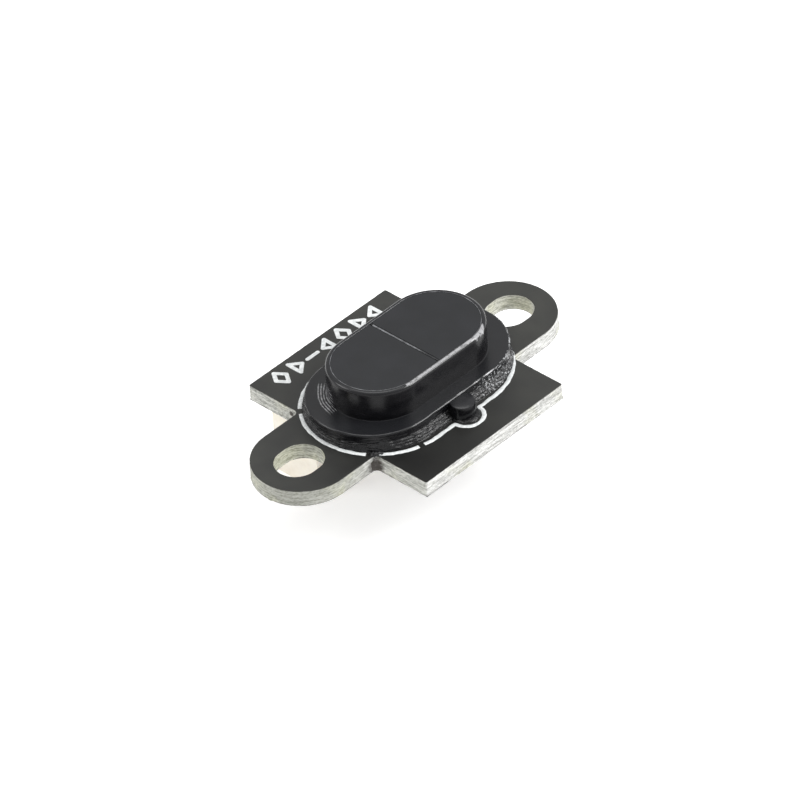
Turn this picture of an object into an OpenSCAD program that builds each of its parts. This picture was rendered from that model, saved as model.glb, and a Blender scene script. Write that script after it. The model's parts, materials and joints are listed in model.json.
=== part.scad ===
// Optical distance sensor module: a small circuit board with two slotted mounting ears,
// a glued oval housing with two dark windows on the front and a cable connector on the back.
// Millimetres. +Z is the sensing direction, X runs from ear to ear.
// The origin is midway between the two mounting slots, on the front face of the board.

/* [Board] */
// Overall length over both ears
board_l = 22; // [20.8:0.2:26]
// Overall width of the centre rectangle
board_w = 13.2; // [13.2:0.1:18]
// Length of the centre rectangle between the ears
body_l = 10.9; // [10.8:0.1:11.2]
// Board thickness with both solder masks
board_t = 1; // [0.8:0.1:1.6]
// Width of each mounting ear
ear_w = 5.75; // [4.5:0.25:6]
// Router radius in the inner corners
inner_corner_r = 0.3; // [0.2:0.05:0.5]

/* [Mounting slots] */
// Distance between the slot centres
slot_pitch = 16.8; // [16.4:0.1:17.2]
// Slot width
slot_w = 2.5; // [2.2:0.1:2.7]
// Slot length along X
slot_l = 2.9; // [2.8:0.1:3.2]

/* [Printed layers] */
// Solder mask and land thickness
mask_t = 0.03; // [0.02:0.01:0.05]
// Silkscreen ink thickness
ink_t = 0.02; // [0.01:0.01:0.03]
// Silkscreen line width
ink_w = 0.24; // [0.15:0.01:0.3]

/* [Housing] */
// Offset of the housing towards the +X ear
housing_x = 0.25; // [0.2:0.05:0.25]
// Flange length
flange_l = 13; // [12.7:0.1:13]
// Flange width
flange_w = 7.45; // [7.1:0.05:7.7]
// Flange height above the board
flange_h = 1; // [0.8:0.05:1.1]
// Raised boss length
boss_l = 10.25; // [10.2:0.05:10.6]
// Raised boss width
boss_w = 5.65; // [5.6:0.05:6]
// Height of the boss rim above the board
boss_h = 2.9; // [2.8:0.05:3.4]
// Chamfer round the boss rim
rim_chamfer = 0.2; // [0.1:0.02:0.2]
// Radius of the small lug on the flange
lug_r = 0.74; // [0.6:0.02:0.76]

/* [Windows] */
// Length of the window pair
window_l = 9.65; // [9.25:0.1:9.65]
// Width of the windows
window_w = 5.1; // [4.7:0.1:5.1]
// Window thickness
window_t = 0.5; // [0.4:0.05:0.6]
// Thickness of the light wall between the windows
web_t = 0.1; // [0.08:0.02:0.2]
// Position of the light wall along X
web_x = 0.15; // [0.05:0.05:0.2]

/* [Connector] */
// Number of ways
ways = 6; // [4:1:6]
// Contact pitch
pitch = 1.25; // [1, 1.25]
// Connector height below the board
plug_h = 5; // [4.2:0.1:6]
// Connector depth across Y
plug_d = 3.2; // [3:0.1:3.4]
// Centre of the connector along Y
plug_y = 4.2; // [4:0.1:4.4]

/* [Hidden] */
$fn = 64;
eps = 0.01;

// Colours
fibreglass = [0.80, 0.81, 0.76];
mask_black = [0.20, 0.20, 0.20];
ink_white = [0.90, 0.92, 0.92];
gold = [0.85, 0.68, 0.32];
tin = [0.72, 0.73, 0.74];
moulding_black = [0.12, 0.12, 0.13];
nylon_cream = [0.93, 0.89, 0.80];
package_black = [0.10, 0.10, 0.11];

// Silkscreen oval, and the bump that goes round the housing lug
oval_at = [0.05, -0.08];
oval_l = 13;
oval_w = 8.7;
bump_r = 0.95;
bump_y = -4.4;

// Row of silkscreen marks
mark_w = 1.05;
mark_h = 1.4;
mark_pitch = 1.24;
mark_at = [-0.15, 5.65];
mark_stroke = 0.24;

// Silkscreen on the back
back_ink_w = 0.15;
back_ink_gap = 0.14;
pin_mark_d = 0.32;
slot_ring_gap = 1.3;
contact_mark_gap = [0.75, 0.2];
controller_mark_y = 2.65;

// Housing inside
flange_straight = flange_l - flange_w;
boss_straight = boss_l - boss_w;
edge_break = 0.08;
lug_h = flange_h - edge_break;
lug_x = 0.15;
lug_y = -4.12;
window_gap = 0.03;
window_inset = 0.02;
bond_t = 0.04;
bond_setback = 0.05;
window_z = boss_h - window_inset - window_t;
ledge_z = window_z - bond_t;
ledge_w = 0.5;
web_foot_t = 0.6;
roof_z = 1.25;
roof_t = 0.2;
pocket_l = 9.2;
pocket_w = 4.4;

// Sealing glue round the flange
glue_x = 0.23;
glue_straight = 5.26;
glue_foot_r = 3.95;
glue_top_r = 3.78;
glue_rise = 0.05;
glue_h = 0.6;
spill_r = 0.5;
spill_h = 0.2;

// Solder: its thickness, how far it stands out beside a connector tail, and the share of a
// connector tail, a lead or a chip end that it climbs
solder_t = 0.05;
tail_margin = 0.06;
tail_climb = 0.8;
foot_climb = 0.7;
cap_climb = 0.55;

// Ranging chip
chip_l = 4.4;
chip_w = 2.4;
chip_top = roof_z - 0.2;
substrate_t = 0.3;
cap_wall = 0.2;
emitter_x = -1.45;
receiver_x = 1.3;
chip_land_pitch = 0.8;
chip_land = 0.5;
land_inset = 0.35;
bypass_x = 3.2;
roof_hole_r = 0.7;
gasket_hole_r = 0.55;
emitter_hole_r = 0.3;
receiver_hole_r = 0.42;
cap_room_h = 0.5;
emitter_size = [0.4, 0.4, 0.15];
receiver_size = [1.5, 1.3, 0.25];

// Connector
plug_l = (ways - 1) * pitch + 3;
plug_base = 1;
plug_end_wall = 0.6;
plug_side_wall = 0.5;
post_w = 0.32;
tail_t = 0.2;
tail_end_y = 1.6;
post_end = plug_h - 0.7;
tab_t = 0.2;
tab_w = 1.5;
tab_foot = 0.5;
tab_h = 1.6;
tab_depth = plug_end_wall / 2;

// Small parts on the back: [x, y] centres
controller_at = [-1.25, -3.1];
regulator_at = [3.6, -4.0];
shifter_at = [3.6, -0.35];
back_capacitors = [[2.75, -2.0], [4.45, -2.0], [5.75, -0.75]];
resistors = [[-4.4, 0.6], [-3.0, 0.6], [-1.6, 0.6], [-0.2, 0.6], [1.2, 0.6]];
ferrite_at = [5.75, 0.45];
test_pad_d = 0.9;
test_pads = [for (sx = [-1, 1], sy = [-1, 1]) [sx * 6.1, sy * 2.05]];

// Package sizes: [body length, body width, body height, foot reach, lead pitch, lead width, foot]
controller_pack = [6.5, 4.4, 0.9, 3.2, 0.65, 0.22, 0.55];
regulator_pack = [2.9, 1.6, 1.0, 1.4, 0.95, 0.38, 0.4];
shifter_pack = [2.0, 1.25, 0.8, 1.05, 0.65, 0.24, 0.25];
standoff = 0.1;
lead_t = 0.13;

// Two-ended chips: [length, width, height]
small_chip = [1.0, 0.5, 0.45];
resistor_chip = [1.0, 0.5, 0.32];
ferrite_chip = [1.6, 0.8, 0.7];
end_share = 0.25;
coat_t = 0.03;
coat_margin = 0.02;
end_proud = 0.02;
land_margin = 0.1;

// ---------------------------------------------------------------- shared shapes

module stadium(length, width) {
    straight = length - width;
    square([straight, width], center = true);
    for (side = [-1, 1]) translate([side * straight / 2, 0]) circle(d = width);
}

// Sweeps a half profile, drawn in X from the centre line and Y upwards, round a stadium
module stadium_turn(straight) {
    for (turn = [0, 180]) rotate([0, 0, turn]) {
        translate([straight / 2, 0, 0]) rotate([0, 0, -90])
            rotate_extrude(angle = 180) children();
        translate([-straight / 2, 0, 0]) rotate([90, 0, 90])
            linear_extrude(straight) children();
    }
}

module stroke(from, to, width) {
    step = to - from;
    translate(from) circle(d = width);
    translate(to) circle(d = width);
    translate(from) rotate(atan2(step[1], step[0]))
        translate([0, -width / 2]) square([norm(step), width]);
}

module closed_line(points, width) {
    for (i = [0 : len(points) - 1])
        stroke(points[i], points[(i + 1) % len(points)], width);
}

// Places parts drawn upwards from z = 0 onto the back face of the board
module on_back() {
    translate([0, 0, -board_t]) mirror([0, 0, 1]) children();
}

module box_at(centre, size, z = 0) {
    translate([centre[0] - size[0] / 2, centre[1] - size[1] / 2, z]) cube(size);
}

// ---------------------------------------------------------------- board

module board_outline() {
    difference() {
        union() {
            square([body_l, board_w], center = true);
            stadium(board_l, ear_w);
            for (sx = [-1, 1], sy = [-1, 1]) inner_corner(sx, sy);
        }
        for (side = [-1, 1]) translate([side * slot_pitch / 2, 0]) stadium(slot_l, slot_w);
    }
}

module inner_corner(sx, sy) {
    reach = inner_corner_r;
    translate([sx * body_l / 2, sy * ear_w / 2]) scale([sx, sy]) difference() {
        translate([-eps, -eps]) square(reach + eps);
        translate([reach, reach]) circle(r = reach);
    }
}

module circuit_board() {
    color(fibreglass) translate([0, 0, mask_t - board_t])
        linear_extrude(board_t - 2 * mask_t) board_outline();
}

module solder_mask_front() {
    color(mask_black) translate([0, 0, -mask_t]) linear_extrude(mask_t) difference() {
        board_outline();
        front_lands();
    }
}

module solder_mask_back() {
    color(mask_black) translate([0, 0, -board_t]) linear_extrude(mask_t) difference() {
        board_outline();
        back_lands();
    }
}

// ---------------------------------------------------------------- lands

module front_lands() {
    chip_lands();
    for (side = [-1, 1]) translate([side * bypass_x, 0]) rotate(90) chip_pair(small_chip);
}

module chip_lands() {
    for (i = [-2 : 2], sy = [-1, 1])
        translate([i * chip_land_pitch, sy * (chip_w / 2 - land_inset)])
            square(chip_land, center = true);
}

// The two lands of a two-ended chip
module chip_pair(size) {
    land = size[0] * end_share + 2 * land_margin;
    for (side = [-1, 1]) translate([side * (size[0] - land + 2 * land_margin) / 2, 0])
        square([land, size[1] + 2 * land_margin], center = true);
}

// Lands under the feet of a package
module foot_lands(pack, rows) {
    for (side = [0, 1], x = rows[side])
        translate([x, (side * 2 - 1) * (pack[3] - pack[6] / 2)])
            square([pack[5] + land_margin, pack[6] + 2 * land_margin], center = true);
}

module connector_lands() {
    tail_land = [0.6, 1.1];
    tab_land = [0.8, tab_w + 0.3];
    for (x = contact_xs) translate([x, tail_end_y + tail_land[1] / 2 - 2 * land_margin])
        square(tail_land, center = true);
    for (side = [-1, 1]) translate([side * (plug_l + tab_land[0]) / 2 - side * land_margin, plug_y])
        square(tab_land, center = true);
}

module back_lands() {
    for (at = back_capacitors) translate(at) chip_pair(small_chip);
    for (at = resistors) translate(at) chip_pair(resistor_chip);
    translate(ferrite_at) chip_pair(ferrite_chip);
    translate(controller_at) foot_lands(controller_pack, controller_rows);
    translate(regulator_at) foot_lands(regulator_pack, regulator_rows);
    translate(shifter_at) foot_lands(shifter_pack, shifter_rows);
    for (at = test_pads) translate(at) circle(d = test_pad_d);
    connector_lands();
}

module front_copper_pads() {
    color(gold) translate([0, 0, -mask_t]) linear_extrude(mask_t) front_lands();
}

module back_copper_pads() {
    color(gold) translate([0, 0, -board_t]) linear_extrude(mask_t) back_lands();
}

// ---------------------------------------------------------------- silkscreen

module oval_outline(grow) {
    translate(oval_at) stadium(oval_l + grow, oval_w + grow);
    translate([lug_x, bump_y]) circle(r = bump_r + grow / 2);
}

// A generic mark: a polygon drawn with a pen, so that no mark reads as a letter or figure
module mark(corners, turn) {
    reach_x = (mark_w - mark_stroke) / 2;
    reach_y = (mark_h - mark_stroke) / 2;
    angles = [for (i = [0 : corners - 1]) turn + i * 360 / corners];
    closed_line([for (a = angles) [reach_x * cos(a), reach_y * sin(a)]], mark_stroke);
}

module front_marks() {
    corners = [4, 3, 2, 3, 4, 3, 3];
    turns = [0, 0, 0, 180, 0, 0, 180];
    last = len(corners) - 1;
    translate(mark_at) for (i = [0 : last])
        translate([(i - last / 2) * mark_pitch, 0]) mark(corners[i], turns[i]);
}

module silkscreen_front() {
    color(ink_white) linear_extrude(ink_t) {
        difference() {
            oval_outline(ink_w);
            oval_outline(-ink_w);
            glue_foot();
        }
        front_marks();
    }
}

// Printed lines along both ends of a package
module package_lines(at, pack) {
    x = pack[0] / 2 + back_ink_gap;
    y = pack[1] / 2 - back_ink_gap;
    translate(at) for (side = [-1, 1]) stroke([side * x, -y], [side * x, y], back_ink_w);
}

// Printed line round a screw slot, clear of a screw head
module slot_ring() {
    stadium(slot_l + slot_ring_gap + 2 * back_ink_w, slot_w + slot_ring_gap + 2 * back_ink_w);
}

module silkscreen_back() {
    edge_y = plug_y + plug_d / 2 + 2 * back_ink_gap;
    color(ink_white) on_back() linear_extrude(ink_t) {
        stroke([-plug_l / 2, edge_y], [plug_l / 2, edge_y], back_ink_w);
        translate([contact_xs[0] - contact_mark_gap[0], tail_end_y + contact_mark_gap[1]])
            circle(d = pin_mark_d);
        translate(controller_at - [controller_pack[0] / 2 + back_ink_gap, controller_mark_y])
            circle(d = pin_mark_d);
        package_lines(controller_at, controller_pack);
        package_lines(regulator_at, regulator_pack);
        package_lines(shifter_at, shifter_pack);
        for (side = [-1, 1]) translate([side * slot_pitch / 2, 0]) difference() {
            slot_ring();
            stadium(slot_l + slot_ring_gap, slot_w + slot_ring_gap);
        }
    }
}

// ---------------------------------------------------------------- housing

module flange_shape() {
    translate([housing_x, 0, 0]) stadium_turn(flange_straight) {
        side = flange_w / 2;
        polygon([
            [0, 0], [side, 0], [side, flange_h - edge_break],
            [side - edge_break, flange_h], [0, flange_h]
        ]);
    }
}

module boss_shape() {
    translate([housing_x, 0, 0]) stadium_turn(boss_straight) {
        side = boss_w / 2;
        polygon([
            [0, 0], [side, 0], [side, boss_h - rim_chamfer],
            [side - rim_chamfer, boss_h], [0, boss_h]
        ]);
    }
}

// The half of the XY plane on one side of the light wall, leaving room for it
module wall_side(side, wall) {
    far = board_l / 2;
    translate([web_x + side * (far + wall) / 2, 0]) square([far, board_w], center = true);
}

module window_outline(side, wall, shrink) {
    intersection() {
        translate([housing_x, 0]) stadium(window_l - shrink, window_w - shrink);
        wall_side(side, wall);
    }
}

module optical_housing() {
    color(moulding_black) difference() {
        union() {
            flange_shape();
            boss_shape();
            translate([lug_x, lug_y, 0]) cylinder(r = lug_r, h = lug_h);
        }
        for (side = [-1, 1]) {
            translate([0, 0, ledge_z]) linear_extrude(boss_h)
                window_outline(side, web_t, -2 * window_gap);
            translate([0, 0, roof_z + roof_t]) linear_extrude(boss_h)
                window_outline(side, web_foot_t, 2 * ledge_w);
        }
        for (x = [emitter_x, receiver_x])
            translate([x, 0, roof_z - eps]) cylinder(r = roof_hole_r, h = roof_t + 2 * eps);
        translate([web_x, 0, -eps]) linear_extrude(roof_z + eps) stadium(pocket_l, pocket_w);
    }
}

module window(side) {
    color([0.14, 0.14, 0.15]) translate([0, 0, window_z])
        linear_extrude(window_t) window_outline(side, web_t + 2 * window_gap, 0);
}

module emitter_window() { window(-1); }

module receiver_window() { window(1); }

module window_adhesive() {
    color([0.30, 0.30, 0.28]) translate([0, 0, ledge_z]) linear_extrude(bond_t)
        for (side = [-1, 1]) difference() {
            window_outline(side, web_t + 2 * window_gap, 0);
            window_outline(side, web_foot_t, 2 * (ledge_w - bond_setback));
        }
}

// ---------------------------------------------------------------- sealing glue

// Collar round the lug, running straight back to the ring round the flange
module glue_bump() {
    r = bump_r - ink_w / 2;
    translate([lug_x, bump_y]) circle(r = r);
    translate([lug_x - r, bump_y]) square([2 * r, -bump_y - flange_w / 2]);
}

// Overflow in one inner corner of the board
module glue_spill() {
    intersection() {
        translate([-body_l / 2, -ear_w / 2]) circle(r = spill_r);
        board_outline();
    }
}

module glue_foot() {
    translate([glue_x, 0]) stadium(glue_straight + 2 * glue_foot_r, 2 * glue_foot_r);
    glue_bump();
    glue_spill();
}

module sealing_glue() {
    color([0.06, 0.06, 0.07]) difference() {
        union() {
            translate([glue_x, 0, 0]) stadium_turn(glue_straight) polygon([
                [0, 0], [glue_foot_r, 0], [glue_foot_r, glue_rise],
                [glue_top_r, glue_h], [0, glue_h]
            ]);
            linear_extrude(spill_h) {
                glue_bump();
                glue_spill();
            }
        }
        translate([housing_x, 0, -eps]) linear_extrude(boss_h) stadium(flange_l, flange_w);
        translate([lug_x, lug_y, -eps]) cylinder(r = lug_r, h = boss_h);
    }
}

// ---------------------------------------------------------------- ranging chip

module light_gasket() {
    color([0.09, 0.09, 0.09]) translate([0, 0, chip_top]) difference() {
        box_at([web_x, 0], [chip_l - 0.2, chip_w - 0.2, roof_z - chip_top]);
        for (x = [emitter_x, receiver_x])
            translate([x, 0, -eps]) cylinder(r = gasket_hole_r, h = roof_z);
    }
}

module sensor_substrate() {
    color([0.16, 0.30, 0.18]) box_at([0, 0], [chip_l, chip_w, substrate_t], solder_t);
}

module sensor_cap() {
    floor_z = solder_t + substrate_t;
    inner = [chip_l / 2 - 1.5 * cap_wall, chip_w - 2 * cap_wall, cap_room_h];
    color(package_black) difference() {
        box_at([0, 0], [chip_l, chip_w, chip_top - floor_z], floor_z);
        for (side = [-1, 1])
            box_at([side * (inner[0] + cap_wall) / 2, 0], inner, floor_z - eps);
        translate([emitter_x, 0, floor_z]) cylinder(r = emitter_hole_r, h = chip_top);
        translate([receiver_x, 0, floor_z]) cylinder(r = receiver_hole_r, h = chip_top);
    }
}

module emitter_die() {
    color([0.55, 0.50, 0.62]) box_at([emitter_x, 0], emitter_size, solder_t + substrate_t);
}

module receiver_die() {
    color([0.35, 0.38, 0.48])
        box_at([receiver_x - cap_wall, 0], receiver_size, solder_t + substrate_t);
}

module sensor_solder() {
    color(tin) linear_extrude(solder_t) chip_lands();
}

// ---------------------------------------------------------------- connector

contact_xs = [for (i = [0 : ways - 1]) (i - (ways - 1) / 2) * pitch];

module contact() {
    union() {
        box_at([0, plug_y], [post_w, post_w, post_end - solder_t], solder_t);
        translate([-post_w / 2, tail_end_y, solder_t]) cube([post_w, plug_y - tail_end_y, tail_t]);
    }
}

module connector_contacts() {
    color(tin) on_back() for (x = contact_xs) translate([x, 0, 0]) contact();
}

// A bent tab: its plate is pressed into the end wall and its foot comes out along the board
module connector_tab() {
    translate([plug_l / 2 - tab_depth, plug_y - tab_w / 2, solder_t]) {
        cube([tab_t, tab_w, tab_h]);
        cube([tab_depth + tab_foot, tab_w, tab_t]);
    }
}

module both_tabs() {
    for (turn = [0, 1]) mirror([turn, 0, 0]) connector_tab();
}

module connector_tabs() {
    color(tin) on_back() both_tabs();
}

module connector_housing() {
    cavity = [plug_l - 2 * plug_end_wall, plug_d - 2 * plug_side_wall, plug_h];
    key_w = 0.9;
    key_depth = 2.6;
    key_x = cavity[0] / 2 - key_w;
    latch = [3, 0.4, 0.8];
    latch_z = plug_h - 2.2;
    relief = [0.5, plug_d - 1, 0.4];
    color(nylon_cream) on_back() difference() {
        box_at([0, plug_y], [plug_l, plug_d, plug_h]);
        box_at([0, plug_y], cavity, plug_base);
        // polarising slots in the outer long wall
        for (side = [-1, 1])
            box_at([side * key_x, plug_y + plug_d / 2], [key_w, 1.2, plug_h], plug_h - key_depth);
        // shallow latch recess in the inner long wall
        box_at([0, plug_y - cavity[1] / 2], latch, latch_z);
        for (x = contact_xs) translate([x, 0, 0]) contact();
        both_tabs();
        // shallow reliefs under the base, so that the joints can be washed
        for (i = [0 : ways - 2])
            box_at([contact_xs[i] + pitch / 2, plug_y], relief, -relief[2] / 2);
    }
}

// Solder under a foot, with a fillet in front of its toe
module toe_joint(width, length, rise) {
    toe = 0.18;
    lip = 0.02;
    linear_extrude(solder_t) square([width, length], center = true);
    translate([-width / 2, -length / 2, 0]) rotate([90, 0, 90])
        linear_extrude(width) polygon([[0, 0], [0, rise], [-toe, lip], [-toe, 0]]);
}

module connector_solder() {
    tail_l = 0.9;
    color(tin) on_back() {
        for (x = contact_xs) translate([x, tail_end_y + tail_l / 2, 0])
            toe_joint(post_w + 2 * tail_margin, tail_l, solder_t + tail_t * tail_climb);
        for (side = [-1, 1])
            translate([side * (plug_l / 2 + tab_foot / 2), plug_y, 0])
                rotate([0, 0, side * 90]) toe_joint(tab_w, tab_foot, solder_t + tab_t * tail_climb);
    }
}

// ---------------------------------------------------------------- leaded packages

controller_rows = [for (side = [0, 1]) [for (i = [0 : 9]) (i - 4.5) * controller_pack[4]]];
regulator_rows = [[for (i = [-1 : 1]) i * regulator_pack[4]], [-regulator_pack[4], regulator_pack[4]]];
shifter_rows = [for (side = [0, 1]) [for (i = [-1 : 1]) i * shifter_pack[4]]];

module package_body(at, pack) {
    color(package_black) on_back() box_at(at, [pack[0], pack[1], pack[2]], standoff);
}

// A gull-wing lead: shoulder out of the body, sloping leg and a flat foot on the solder
module gull_lead(pack) {
    shoulder_z = standoff + pack[2] / 2;
    root = pack[1] / 2;
    heel = pack[3] - pack[6];
    knee = (root + heel) / 2;
    foot_z = solder_t;
    miter = lead_t / 3;
    rotate([90, 0, 90]) translate([0, 0, -pack[5] / 2]) linear_extrude(pack[5]) polygon([
        [root, shoulder_z], [knee - miter, shoulder_z], [heel - miter, foot_z], [pack[3], foot_z],
        [pack[3], foot_z + lead_t], [heel + miter, foot_z + lead_t],
        [knee + miter, shoulder_z + lead_t], [root, shoulder_z + lead_t]
    ]);
}

module package_leads(at, pack, rows) {
    color(tin) on_back() translate(at)
        for (side = [0, 1], x = rows[side])
            translate([x, 0, 0]) rotate([0, 0, side == 1 ? 0 : 180]) gull_lead(pack);
}

module controller_body() { package_body(controller_at, controller_pack); }

module controller_leads() { package_leads(controller_at, controller_pack, controller_rows); }

module regulator_body() { package_body(regulator_at, regulator_pack); }

module regulator_leads() { package_leads(regulator_at, regulator_pack, regulator_rows); }

module level_shifter_body() { package_body(shifter_at, shifter_pack); }

module level_shifter_leads() { package_leads(shifter_at, shifter_pack, shifter_rows); }

// ---------------------------------------------------------------- two-ended chips

module chip_middle(size) {
    box_at([0, 0], [size[0] * (1 - 2 * end_share), size[1], size[2]], solder_t);
}

module chip_ends(size) {
    cap = [size[0] * end_share, size[1] + end_proud, size[2] + end_proud];
    for (side = [-1, 1]) box_at([side * (size[0] - cap[0]) / 2, 0], cap, solder_t);
}

module front_capacitor_places() {
    for (side = [-1, 1]) translate([side * bypass_x, 0, 0]) rotate([0, 0, 90]) children();
}

module back_capacitor_places() {
    on_back() for (at = back_capacitors) translate(at) children();
}

module resistor_places() {
    on_back() for (at = resistors) translate(at) children();
}

module capacitor_bodies() {
    color([0.62, 0.50, 0.36]) {
        front_capacitor_places() chip_middle(small_chip);
        back_capacitor_places() chip_middle(small_chip);
    }
}

module capacitor_ends() {
    color(tin) {
        front_capacitor_places() chip_ends(small_chip);
        back_capacitor_places() chip_ends(small_chip);
    }
}

module resistor_bodies() {
    color([0.93, 0.93, 0.90]) resistor_places() chip_middle(resistor_chip);
}

module resistor_coats() {
    size = resistor_chip;
    coat = [size[0] * (1 - 2 * end_share), size[1] - 2 * coat_margin, coat_t];
    color(package_black) resistor_places() box_at([0, 0], coat, solder_t + size[2]);
}

module resistor_ends() {
    color(tin) resistor_places() chip_ends(resistor_chip);
}

module ferrite_body() {
    color([0.25, 0.24, 0.23]) on_back() translate(ferrite_at) chip_middle(ferrite_chip);
}

module ferrite_ends() {
    color(tin) on_back() translate(ferrite_at) chip_ends(ferrite_chip);
}

// ---------------------------------------------------------------- solder of the small parts

module chip_joints(size) {
    cap_l = size[0] * end_share;
    for (turn = [0, 180]) rotate([0, 0, turn]) translate([size[0] / 2 - cap_l / 2, 0, 0])
        rotate([0, 0, 90]) toe_joint(size[1], cap_l, size[2] * cap_climb);
}

module foot_joints(pack, rows) {
    rise = solder_t + lead_t * foot_climb;
    for (side = [0, 1], x = rows[side])
        translate([x, 0, 0]) rotate([0, 0, side == 0 ? 0 : 180])
            translate([0, pack[6] / 2 - pack[3], 0]) toe_joint(pack[5], pack[6], rise);
}

module chip_solder() {
    color(tin) {
        front_capacitor_places() chip_joints(small_chip);
        back_capacitor_places() chip_joints(small_chip);
        resistor_places() chip_joints(resistor_chip);
        on_back() {
            translate(ferrite_at) chip_joints(ferrite_chip);
            translate(controller_at) foot_joints(controller_pack, controller_rows);
            translate(regulator_at) foot_joints(regulator_pack, regulator_rows);
            translate(shifter_at) foot_joints(shifter_pack, shifter_rows);
        }
    }
}

// ---------------------------------------------------------------- assembly

circuit_board();
solder_mask_front();
solder_mask_back();
silkscreen_front();
silkscreen_back();
front_copper_pads();
back_copper_pads();
optical_housing();
emitter_window();
receiver_window();
window_adhesive();
sealing_glue();
light_gasket();
sensor_substrate();
sensor_cap();
emitter_die();
receiver_die();
sensor_solder();
connector_housing();
connector_contacts();
connector_tabs();
connector_solder();
controller_body();
controller_leads();
regulator_body();
regulator_leads();
level_shifter_body();
level_shifter_leads();
capacitor_bodies();
capacitor_ends();
resistor_bodies();
resistor_coats();
resistor_ends();
ferrite_body();
ferrite_ends();
chip_solder();
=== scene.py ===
import json
import math

import bmesh
import bpy
from mathutils import Matrix, Vector, noise


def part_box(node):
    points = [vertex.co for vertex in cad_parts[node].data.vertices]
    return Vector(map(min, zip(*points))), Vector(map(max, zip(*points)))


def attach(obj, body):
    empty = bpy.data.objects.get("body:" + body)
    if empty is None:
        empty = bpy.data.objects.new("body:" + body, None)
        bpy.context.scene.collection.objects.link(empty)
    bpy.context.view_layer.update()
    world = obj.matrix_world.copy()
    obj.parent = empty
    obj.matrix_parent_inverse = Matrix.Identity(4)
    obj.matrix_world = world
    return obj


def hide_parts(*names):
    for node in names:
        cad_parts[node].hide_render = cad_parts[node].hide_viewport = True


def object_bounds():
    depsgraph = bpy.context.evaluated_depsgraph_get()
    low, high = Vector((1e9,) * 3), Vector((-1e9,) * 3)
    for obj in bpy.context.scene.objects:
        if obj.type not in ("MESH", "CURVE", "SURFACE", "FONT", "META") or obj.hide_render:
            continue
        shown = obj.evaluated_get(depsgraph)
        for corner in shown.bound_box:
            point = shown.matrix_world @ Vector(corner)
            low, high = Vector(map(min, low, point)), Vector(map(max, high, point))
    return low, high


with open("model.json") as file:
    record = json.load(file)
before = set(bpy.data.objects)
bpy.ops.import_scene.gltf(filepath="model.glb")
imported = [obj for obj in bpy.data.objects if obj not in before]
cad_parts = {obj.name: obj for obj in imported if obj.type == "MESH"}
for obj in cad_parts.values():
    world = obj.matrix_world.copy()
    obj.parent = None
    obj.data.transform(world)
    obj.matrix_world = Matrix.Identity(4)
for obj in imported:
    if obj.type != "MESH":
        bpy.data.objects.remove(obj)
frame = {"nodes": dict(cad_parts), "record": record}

# Shapes are worked out in millimetres and scaled to metres when a piece is made.
MM = 0.001
BODY = "root"
cad_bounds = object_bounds()

# Sizes in mm that the frame's boxes don't state.
INK_LINE = 0.24
SILK_CENTRE = (0.05, -0.08)
SILK_HALF = (6.5, 4.35)
BUMP_CENTRE = (0.15, -4.4)
BUMP_R = 0.95
LUG_CENTRE = (0.15, -4.12)
LUG_R = 0.74
LEAD_T = 0.13
INNER_CORNER_R = 0.3
OUTER_CORNER_R = 0.1

# Traces of how this one was made, in mm: the gaps in the printed oval, each with its radius,
# and a drop of glue on the board. Last, the spot where painted shade on the mask is darkest.
INK_GAPS = (((-5.56, -2.78), 0.3), ((-5.33, 2.83), 0.16), ((-3.27, -4.2), 0.14))
GLUE_DROP = (5.62, -2.68)
MASK_SHADE_CENTRE = (-4.4, -5.2, 0.0)


# ------------------------------------------------------------------ reading the frame

def box_mm(node):
    low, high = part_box(node)
    return low / MM, high / MM


def extent(node, z_low, z_high):
    """Lowest and highest corner, in mm, of a CAD node's points between two heights."""
    points = [v.co / MM for v in frame["nodes"][node].data.vertices]
    points = [p for p in points if z_low <= p.z <= z_high]
    low = Vector([min(p[i] for p in points) for i in range(3)])
    high = Vector([max(p[i] for p in points) for i in range(3)])
    return low, high


def welded(node):
    """The CAD node's mesh in mm, with the points that the file format splits joined again."""
    bm = bmesh.new()
    bm.from_mesh(frame["nodes"][node].data)
    bmesh.ops.scale(bm, vec=(1 / MM,) * 3, verts=bm.verts)
    bmesh.ops.remove_doubles(bm, verts=bm.verts, dist=1e-4)
    return bm


def islands(bm):
    """The separate solids of a mesh, each as a list of its points, in a fixed order."""
    seen, found = set(), []
    for start in bm.verts:
        if start in seen:
            continue
        group, queue = [], [start]
        seen.add(start)
        while queue:
            v = queue.pop()
            group.append(v)
            for e in v.link_edges:
                other = e.other_vert(v)
                if other not in seen:
                    seen.add(other)
                    queue.append(other)
        found.append(group)
    return found


def solid_boxes(node):
    """Lowest and highest corner, in mm, of each separate solid in a CAD node."""
    bm = welded(node)
    boxes = []
    for group in islands(bm):
        low = Vector([min(v.co[i] for v in group) for i in range(3)])
        high = Vector([max(v.co[i] for v in group) for i in range(3)])
        boxes.append((low, high))
    bm.free()
    return sorted(boxes, key=lambda b: tuple(round(c, 3) for c in b[0]))


# ------------------------------------------------------------------ mesh helpers

def add_object(name, data):
    thing = bpy.data.objects.new(name, data)
    bpy.context.scene.collection.objects.link(thing)
    return thing


def make_piece(name, bm, material, replaces=(), sharp_deg=35):
    """Turns a mesh in mm into a piece that rides on the board."""
    bmesh.ops.recalc_face_normals(bm, faces=bm.faces)
    for face in bm.faces:
        face.smooth = True
    for edge in bm.edges:
        if len(edge.link_faces) == 2 and edge.calc_face_angle(0) > math.radians(sharp_deg):
            edge.smooth = False
    bmesh.ops.scale(bm, vec=(MM,) * 3, verts=bm.verts)
    mesh = bpy.data.meshes.new(name)
    bm.to_mesh(mesh)
    bm.free()
    mesh.materials.append(material)
    piece = add_object(name, mesh)
    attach(piece, BODY)
    if replaces:
        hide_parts(*replaces)
    return piece


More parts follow.
